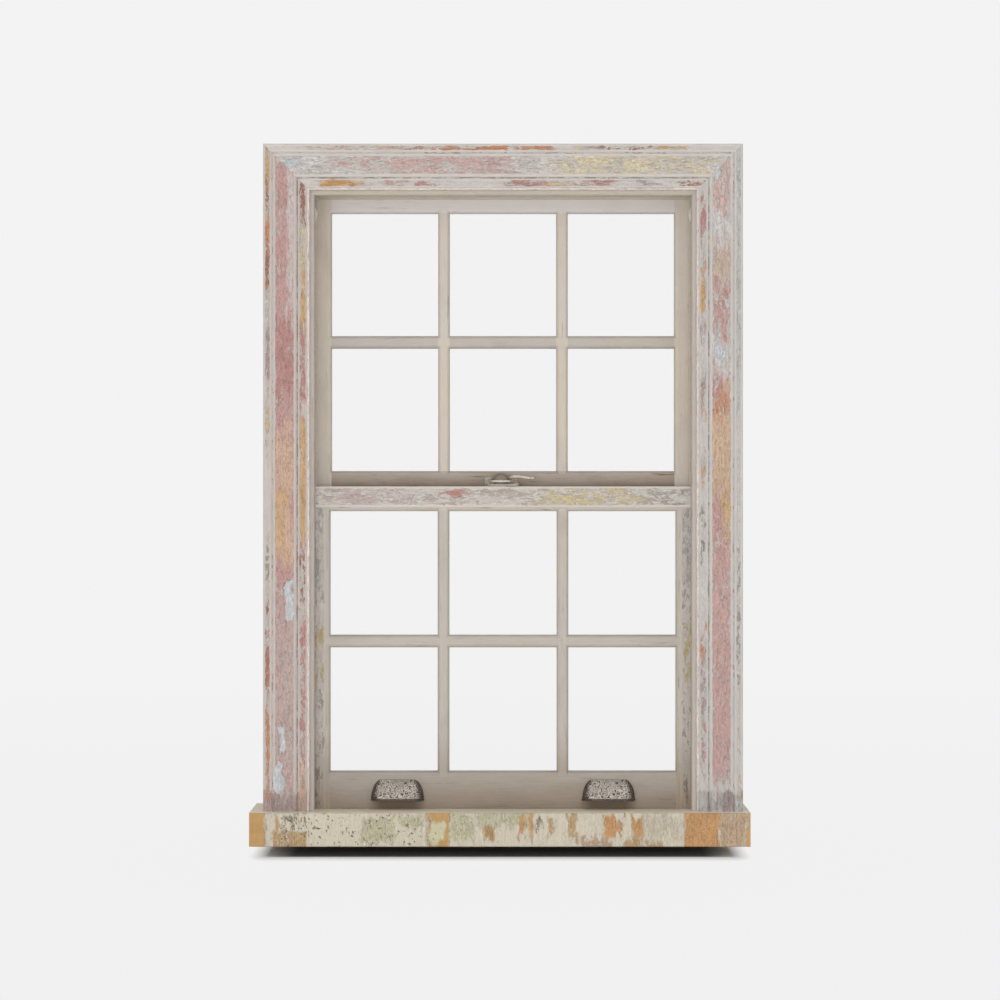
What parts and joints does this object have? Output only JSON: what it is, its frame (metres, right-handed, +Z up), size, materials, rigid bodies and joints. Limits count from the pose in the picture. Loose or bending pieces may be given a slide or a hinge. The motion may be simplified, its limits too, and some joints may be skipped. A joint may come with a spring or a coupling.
{
  "type": "sash window",
  "caption": "Double-hung sash window in a weighted box frame with mitred casing and heavy sill; old crackled paint, cup lifts and a cam lock.",
  "frame": {"origin": "on the sill's underside, at the middle of the frame and in the plane of the room wall, which the casing lies against", "axes": "+X to the right seen from the room, +Y out of doors, +Z up"},
  "size_m": [0.953, 0.2145, 1.3385],
  "materials": {
    "casing_paint": "matte",
    "sill_paint": "matte",
    "sash_paint": "matte",
    "frame_paint": "matte",
    "bare_wood": "matte",
    "glass": "polished",
    "putty": "matte",
    "cord": "matte",
    "weight_iron": "matte",
    "pulley_wheel": "satin",
    "pulley_case": "matte",
    "old_metal": "satin"
  },
  "bodies": {
    "frame": {"sill": "sill_paint", "head": "frame_paint", "pulley_stile_left": "frame_paint", "pulley_stile_right": "frame_paint", "inside_lining_left": "frame_paint", "inside_lining_right": "frame_paint", "inside_lining_head": "frame_paint", "outside_lining_left": "frame_paint", "outside_lining_right": "frame_paint", "outside_lining_head": "frame_paint", "back_lining_left": "bare_wood", "back_lining_right": "bare_wood", "casing_left": "casing_paint", "casing_right": "casing_paint", "casing_head": "casing_paint", "stop_bead_left": "frame_paint", "stop_bead_right": "frame_paint", "stop_bead_head": "frame_paint", "parting_bead_left": "frame_paint", "parting_bead_right": "frame_paint", "parting_bead_head": "frame_paint", "pocket_pieces": "frame_paint", "weight_dividers": "bare_wood", "pulley_cases": "pulley_case", "pulley_axles": "pulley_case", "cord_lower_left": "cord", "cord_lower_right": "cord", "cord_upper_left": "cord", "cord_upper_right": "cord"},
    "lower_sash": {"lower_stile_left": "sash_paint", "lower_stile_right": "sash_paint", "lower_meeting_rail": "sash_paint", "lower_bottom_rail": "sash_paint", "lower_upright_bars": "sash_paint", "lower_cross_bars": "sash_paint", "lower_glass": "glass", "lower_putty": "putty", "lift_left": "old_metal", "lift_right": "old_metal", "lock_base": "old_metal"},
    "upper_sash": {"upper_stile_left": "sash_paint", "upper_stile_right": "sash_paint", "upper_top_rail": "sash_paint", "upper_meeting_rail": "sash_paint", "upper_meeting_bead": "sash_paint", "upper_upright_bars": "sash_paint", "upper_cross_bars": "sash_paint", "upper_glass": "glass", "upper_putty": "putty", "lock_keeper": "old_metal"},
    "lock_lever": {"lock_lever": "old_metal"},
    "pulley_lower_left": {"pulley_lower_left": "pulley_wheel"},
    "pulley_lower_right": {"pulley_lower_right": "pulley_wheel"},
    "pulley_upper_left": {"pulley_upper_left": "pulley_wheel"},
    "pulley_upper_right": {"pulley_upper_right": "pulley_wheel"},
    "weight_lower_left": {"weight_lower_left": "weight_iron"},
    "weight_lower_right": {"weight_lower_right": "weight_iron"},
    "weight_upper_left": {"weight_upper_left": "weight_iron"},
    "weight_upper_right": {"weight_upper_right": "weight_iron"}
  },
  "joints": [
    {"name": "lower_sash_slide", "type": "slide", "parent": "frame", "child": "lower_sash", "axis": [0, 0, 1], "range_m": [0, 0.48], "deforming": ["cord_lower_left", "cord_lower_right"]},
    {"name": "upper_sash_slide", "type": "slide", "parent": "frame", "child": "upper_sash", "axis": [0, 0, 1], "range_m": [-0.48, 0], "deforming": ["cord_upper_left", "cord_upper_right"]},
    {"name": "lock_turn", "type": "hinge", "parent": "lower_sash", "child": "lock_lever", "pos_m": [-0.004, 0.054, 0.7031], "axis": [0, 0, 1], "range_deg": [-180, 0]},
    {"name": "pulley_lower_left_turn", "type": "hinge", "parent": "frame", "child": "pulley_lower_left", "pos_m": [-0.3845, 0.0505, 1.2095], "axis": [0, 1, 0], "continuous": true},
    {"name": "weight_lower_left_slide", "type": "slide", "parent": "frame", "child": "weight_lower_left", "axis": [0, 0, 1], "range_m": [-0.48, 0]},
    {"name": "pulley_lower_right_turn", "type": "hinge", "parent": "frame", "child": "pulley_lower_right", "pos_m": [0.3845, 0.0505, 1.2095], "axis": [0, 1, 0], "continuous": true},
    {"name": "weight_lower_right_slide", "type": "slide", "parent": "frame", "child": "weight_lower_right", "axis": [0, 0, 1], "range_m": [-0.48, 0]},
    {"name": "pulley_upper_left_turn", "type": "hinge", "parent": "frame", "child": "pulley_upper_left", "pos_m": [-0.3845, 0.0995, 1.2095], "axis": [0, 1, 0], "continuous": true},
    {"name": "weight_upper_left_slide", "type": "slide", "parent": "frame", "child": "weight_upper_left", "axis": [0, 0, 1], "range_m": [0, 0.48]},
    {"name": "pulley_upper_right_turn", "type": "hinge", "parent": "frame", "child": "pulley_upper_right", "pos_m": [0.3845, 0.0995, 1.2095], "axis": [0, 1, 0], "continuous": true},
    {"name": "weight_upper_right_slide", "type": "slide", "parent": "frame", "child": "weight_upper_right", "axis": [0, 0, 1], "range_m": [0, 0.48]}
  ],
  "couplings": [
    {"joint": "pulley_lower_left_turn", "follows": "lower_sash_slide", "rad_per_m": -44.444},
    {"joint": "weight_lower_left_slide", "follows": "lower_sash_slide", "ratio": -1},
    {"joint": "pulley_lower_right_turn", "follows": "lower_sash_slide", "rad_per_m": 44.444},
    {"joint": "weight_lower_right_slide", "follows": "lower_sash_slide", "ratio": -1},
    {"joint": "pulley_upper_left_turn", "follows": "upper_sash_slide", "rad_per_m": -44.444},
    {"joint": "weight_upper_left_slide", "follows": "upper_sash_slide", "ratio": -1},
    {"joint": "pulley_upper_right_turn", "follows": "upper_sash_slide", "rad_per_m": 44.444},
    {"joint": "weight_upper_right_slide", "follows": "upper_sash_slide", "ratio": -1}
  ]
}
